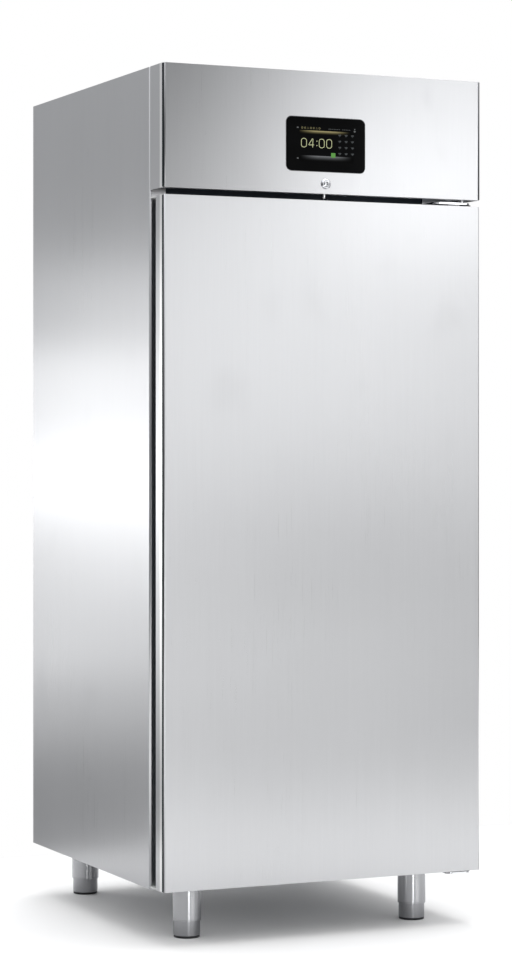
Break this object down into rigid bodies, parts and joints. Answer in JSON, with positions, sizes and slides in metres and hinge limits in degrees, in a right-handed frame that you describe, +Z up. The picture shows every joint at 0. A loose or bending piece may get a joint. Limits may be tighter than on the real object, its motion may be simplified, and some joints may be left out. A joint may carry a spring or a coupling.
{
  "type": "retarder proofer",
  "caption": "Upright one-door steel cabinet that chills or warms dough: touch display and lock on the lifting instrument panel above the door, tray ledges inside, adjustable round feet.",
  "frame": {"origin": "the middle of the whole cabinet's footprint, on the floor under the feet's pads", "axes": "+X to the right seen from the front, +Y to the back, +Z up; the door faces -Y"},
  "size_m": [0.79, 0.874, 1.949],
  "materials": {
    "satin_steel": "satin, brushed",
    "inner_steel": "fine satin",
    "zinc_steel": "dull zinc",
    "bright_steel": "bright plated",
    "dark_plastic": "matt",
    "grey_plastic": "matt",
    "black_plastic": "matt",
    "black_glass": "polished, opaque",
    "foam": "matt foam",
    "grey_rubber": "matt",
    "black_rubber": "matt",
    "black_enamel": "gloss",
    "copper": "dull",
    "brass": "plain",
    "fin_aluminium": "plain",
    "light_diffuser": "milky"
  },
  "bodies": {
    "cabinet": {"side_panel_right": "satin_steel", "side_panel_left": "satin_steel", "back_panel": "zinc_steel", "base_panel": "zinc_steel", "roof_deck": "zinc_steel", "chamber_liner": "inner_steel", "cabinet_insulation": "foam", "opening_frame": "dark_plastic", "rear_grille": "zinc_steel", "dashboard_hinges": "zinc_steel", "hinge_bracket_top": "bright_steel", "hinge_bracket_bottom": "bright_steel", "m6_screws": "bright_steel", "unit_base": "zinc_steel", "compressor": "black_enamel", "compressor_mounts": "black_rubber", "compressor_cover": "black_plastic", "condenser_coil": "fin_aluminium", "condenser_shroud": "zinc_steel", "condenser_fan_motor": "zinc_steel", "refrigerant_pipes": "copper", "control_box": "zinc_steel", "water_valve": "brass", "steam_pipe": "copper", "cable_gland": "black_plastic", "uprights": "inner_steel", "tray_runners": "inner_steel", "duct_panel": "inner_steel", "chamber_fan_motors": "zinc_steel", "evaporator_coil": "fin_aluminium", "evaporator_tray": "inner_steel", "heating_element": "inner_steel", "light_strip": "light_diffuser", "probes": "inner_steel", "foot_sleeves": "satin_steel"},
    "door": {"door_skin": "satin_steel", "door_liner": "inner_steel", "door_foam": "foam", "grip_profile": "satin_steel", "door_end_caps": "grey_plastic", "door_gasket": "grey_rubber", "strike_plate": "zinc_steel", "hinge_bushes": "black_plastic"},
    "dashboard": {"dashboard_panel": "satin_steel", "display_glass": "black_glass", "display_module": "black_plastic", "lock_housing": "bright_steel"},
    "lock_core": {"lock_cylinder": "bright_steel"},
    "bolt": {"lock_bolt": "zinc_steel"},
    "condenser_wheel": {"condenser_fan": "black_plastic"},
    "left_wheel": {"chamber_fan_left": "black_plastic"},
    "right_wheel": {"chamber_fan_right": "black_plastic"},
    "foot_front_left": {"foot_stem_front_left": "satin_steel", "foot_pad_front_left": "black_rubber"},
    "foot_front_right": {"foot_stem_front_right": "satin_steel", "foot_pad_front_right": "black_rubber"},
    "foot_rear_left": {"foot_stem_rear_left": "satin_steel", "foot_pad_rear_left": "black_rubber"},
    "foot_rear_right": {"foot_stem_rear_right": "satin_steel", "foot_pad_rear_right": "black_rubber"}
  },
  "joints": [
    {"name": "door_swing", "type": "hinge", "parent": "cabinet", "child": "door", "pos_m": [0.373, -0.4, 0.125], "axis": [0, 0, 1], "range_deg": [0, 105]},
    {"name": "dashboard_lift", "type": "hinge", "parent": "cabinet", "child": "dashboard", "pos_m": [0, -0.3545, 1.945], "axis": [-1, 0, 0], "range_deg": [0, 75]},
    {"name": "lock_turn", "type": "hinge", "parent": "dashboard", "child": "lock_core", "pos_m": [0, -0.43, 1.697], "axis": [0, 1, 0], "range_deg": [0, 180]},
    {"name": "bolt_slide", "type": "slide", "parent": "dashboard", "child": "bolt", "axis": [0, 0, -1], "range_m": [0, 0.014]},
    {"name": "condenser_fan_spin", "type": "hinge", "parent": "cabinet", "child": "condenser_wheel", "pos_m": [-0.13, -0.175, 1.8035], "axis": [0, 1, 0], "continuous": true},
    {"name": "left_fan_spin", "type": "hinge", "parent": "cabinet", "child": "left_wheel", "pos_m": [-0.135, 0.187, 1.4695], "axis": [0, 1, 0], "continuous": true},
    {"name": "right_fan_spin", "type": "hinge", "parent": "cabinet", "child": "right_wheel", "pos_m": [0.135, 0.187, 1.4695], "axis": [0, 1, 0], "continuous": true},
    {"name": "foot_front_left_screw", "type": "slide", "parent": "cabinet", "child": "foot_front_left", "axis": [0, 0, -1], "range_m": [0, 0.03]},
    {"name": "foot_front_right_screw", "type": "slide", "parent": "cabinet", "child": "foot_front_right", "axis": [0, 0, -1], "range_m": [0, 0.03]},
    {"name": "foot_rear_left_screw", "type": "slide", "parent": "cabinet", "child": "foot_rear_left", "axis": [0, 0, -1], "range_m": [0, 0.03]},
    {"name": "foot_rear_right_screw", "type": "slide", "parent": "cabinet", "child": "foot_rear_right", "axis": [0, 0, -1], "range_m": [0, 0.03]}
  ],
  "couplings": [
    {"joint": "bolt_slide", "follows": "lock_turn", "m_per_rad": 0.004456}
  ]
}
